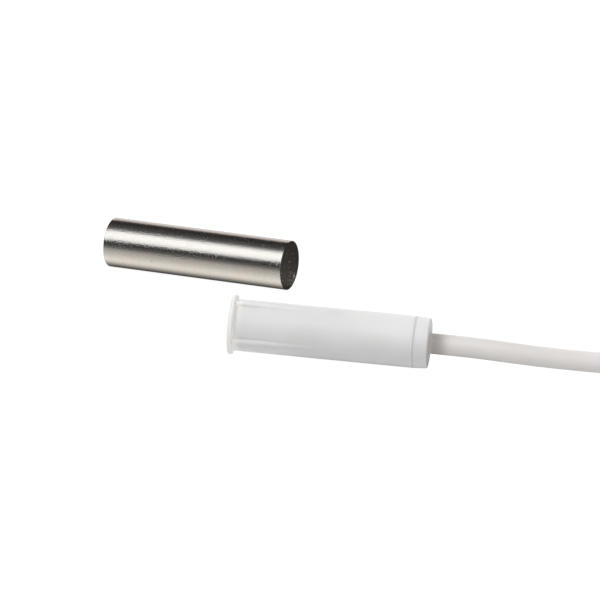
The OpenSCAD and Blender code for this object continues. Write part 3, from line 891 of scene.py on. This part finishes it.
# Floor and light: a white tent over the table, bright on the left in front and low behind.
# glow is a level by distance from the magnet in mm, tent a level by angle above the front.
light = {
    "floor": 0.97, "floorTone": 0.08, "paper": (3.0, 2.0), "paperSwing": 0.005, "floorHalf": 4.0,
    "bounce": 0.67, "contact": (0.0002, 0.0026), "under": (1.8, 0.4, 0.8),
    "open": (1.07, 0.99, 1.1), "middleSpan": (0.0, 0.014), "rightSpan": (0.026, 0.05),
    "glowTone": (1.0, 0.955, 0.885), "glowScale": 10.0,
    "glow": [(0, 0.03), (1.25, 0.06), (1.74, 0.12), (2.13, 0.27), (2.48, 0.45), (2.83, 0.66),
             (3.18, 0.84), (3.57, 0.94), (3.97, 0.985), (4.85, 0.89), (6.05, 0.74), (7.7, 0.60),
             (10.1, 0.475), (12.2, 0.395), (14.8, 0.305), (18.6, 0.175), (25.5, 0.07), (50, 0.03),
             (200, 0.025)],
    "tentRadius": 0.8, "tentSpan": (-1.1, 0.30), "tentSteps": 60, "tentPeak": 1.5,
    "blush": (1.07, 0.98, 0.96), "blushFrom": 91,
    "tent": [(0, 0.045), (6.5, 0.045), (12, 0.065), (16, 0.14), (20, 0.38), (24, 0.93),
             (30, 1.3), (48, 1.5), (61.5, 1.4), (67.5, 1.1), (72.5, 0.70), (77.5, 0.33),
             (83.5, 0.155), (90.5, 0.10), (102, 0.062), (117, 0.036), (134.5, 0.032),
             (141.5, 0.25), (149.5, 0.7), (172, 0.85), (180, 0.85)],
    "fills": [("leftFill", -70, 40, 5.0), ("backFill", 180, 33, 3.8), ("rightFill", 80, 32, 1.8)],
    "fillDistance": 0.9, "fillSize": (0.7, 0.6), "world": 0.14,
}


def staged(name, points, faces, finish):
    # a piece of the studio: its points in metres, its faces and its one material
    mesh = bpy.data.meshes.new(name)
    mesh.from_pydata(np.asarray(points).tolist(), [], np.asarray(faces).tolist())
    mesh.materials.append(finish)
    made = addObject(name, mesh)
    return made


def nearness(at, yaw, middle):
    # distance on the floor from the line under a body: |(y - my) cos yaw + (x - mx) sin yaw|
    x, y = at.part("X"), at.part("Y")
    c, s = float(np.cos(yaw)), float(np.sin(yaw))
    return (y * c + x * s - float((middle[1] * c + middle[0] * s) * mm)).math("ABSOLUTE")


def makeFloor():
    # pale paper. The camera sees one even level. What shines sees the glow, a level by the
    # distance d from the magnet's line, read at d / (d + glowScale). All else is lit by levels
    # that change along X, those of under beside a body and those of open away from it.
    material, shader, at = startFinish("floorPaper")
    fromBar = nearness(at, bar["yaw"], bar["middle"])
    fromSwitch = nearness(at, 0.0, (0.0, -switch["shift"][1]))
    peak = max(level for _, level in light["glow"])
    stops = [(d / (d + light["glowScale"]), colour(*[t * level / peak for t in light["glowTone"]]))
             for d, level in light["glow"]]
    share = fromBar / (fromBar + light["glowScale"] * mm)
    warm = share.node("ShaderNodeValToRGB", {"stops": stops}, {0: share})
    bounce = light["bounce"] / peak
    x = at.part("X")
    beside = []
    for key in ("under", "open"):
        left, middle, right = (grey(level * bounce) for level in light[key])
        near = x.step(*light["middleSpan"]).tone(left, middle)
        beside.append(x.step(*light["rightSpan"]).tone(near, right))
    plain = fromBar.math("MINIMUM", fromSwitch).step(*light["contact"]).tone(*beside)
    seen, shiny = (at.node("ShaderNodeLightPath", out="Is " + ray + " Ray")
                   for ray in ("Camera", "Glossy"))
    shown = seen.tone(shiny.tone(plain, warm), grey(light["floor"] / peak))
    pale = at.noise(*light["paper"]).tone(grey(light["floorTone"] - light["paperSwing"]),
                                          grey(light["floorTone"] + light["paperSwing"]))
    setShader(shader, {"Base Color": pale, "Roughness": 1.0, "Specular IOR Level": 0.0,
                       "Emission Color": shown, "Emission Strength": peak})
    corners = light["floorHalf"] * np.array([(-1, -1, 0), (1, -1, 0), (1, 1, 0), (-1, 1, 0)])
    staged("floor", corners, [(0, 1, 2, 3)], material)


def makeTent():
    # an arch over the bar's axis: radius (cos e front + sin e up) + s axis, with its
    # brightness by the angle e above the front
    steps = light["tentSteps"]
    e = np.radians(np.linspace(0, 180, steps + 1))[:, None, None]
    span = np.array(light["tentSpan"])[None, :, None]
    c, s = np.cos(bar["yaw"]), np.sin(bar["yaw"])
    front, up = np.array([-s, -c, 0]), np.array([0, 0, 1])
    arch = light["tentRadius"] * (np.cos(e) * front + np.sin(e) * up)
    points = (arch + span * np.array([c, -s, 0])).reshape(-1, 3)
    faces = 2 * np.arange(steps)[:, None] + np.array([[0, 1, 3, 2]])
    material, shader, at = startFinish("tentCloth")
    ahead = at.node("ShaderNodeVectorMath", {"operation": "DOT_PRODUCT"},
                    {0: at, 1: tuple(front)}, out="Value")
    share = (ahead / light["tentRadius"]).math("ARCCOSINE") / float(np.pi)
    stops = [(angle / 180, colour(*[t * level / light["tentPeak"] for t in
                                    (light["blush"] if angle > light["blushFrom"] else (1, 1, 1))]))
             for angle, level in light["tent"]]
    cloth = share.node("ShaderNodeValToRGB", {"stops": stops}, {0: share})
    setShader(shader, {"Base Color": grey(0), "Specular IOR Level": 0.0, "Roughness": 1.0,
                       "Emission Color": cloth, "Emission Strength": light["tentPeak"]})
    tent = staged("tent", points, faces, material)
    tent.visible_camera = tent.visible_shadow = False


def softBox(name, azimuth, elevation, power):
    # a light at an angle round the object, facing it, that leaves no reflection; azimuth 0 is
    # in front
    data = bpy.data.lights.new(name, "AREA")
    data.shape, data.energy = "RECTANGLE", power
    data.size, data.size_y = light["fillSize"]
    level, rise, back = aim(azimuth, elevation)
    lamp = addObject(name, data)
    turnTo(lamp, level, rise, back, light["fillDistance"] * back)
    lamp.visible_glossy = False


def makeLight():
    # the tent, soft fills, and a surround that is white to the camera and low for all else
    makeTent()
    for fill in light["fills"]:
        softBox(*fill)
    world = bpy.data.worlds.new("studio")
    world.use_nodes = True
    world.node_tree.nodes.clear()
    start = Shade(world.node_tree)
    seen = start.node("ShaderNodeLightPath", out="Is Camera Ray")
    background = start.node("ShaderNodeBackground", None,
                            {"Color": seen.tone(grey(light["world"]), grey(1)), "Strength": 1.0})
    start.node("ShaderNodeOutputWorld", None, {"Surface": background})
    bpy.context.scene.world = world
    bpy.context.scene.view_settings.view_transform = "Standard"


makeFloor()
makeLight()
print("floor and light set")
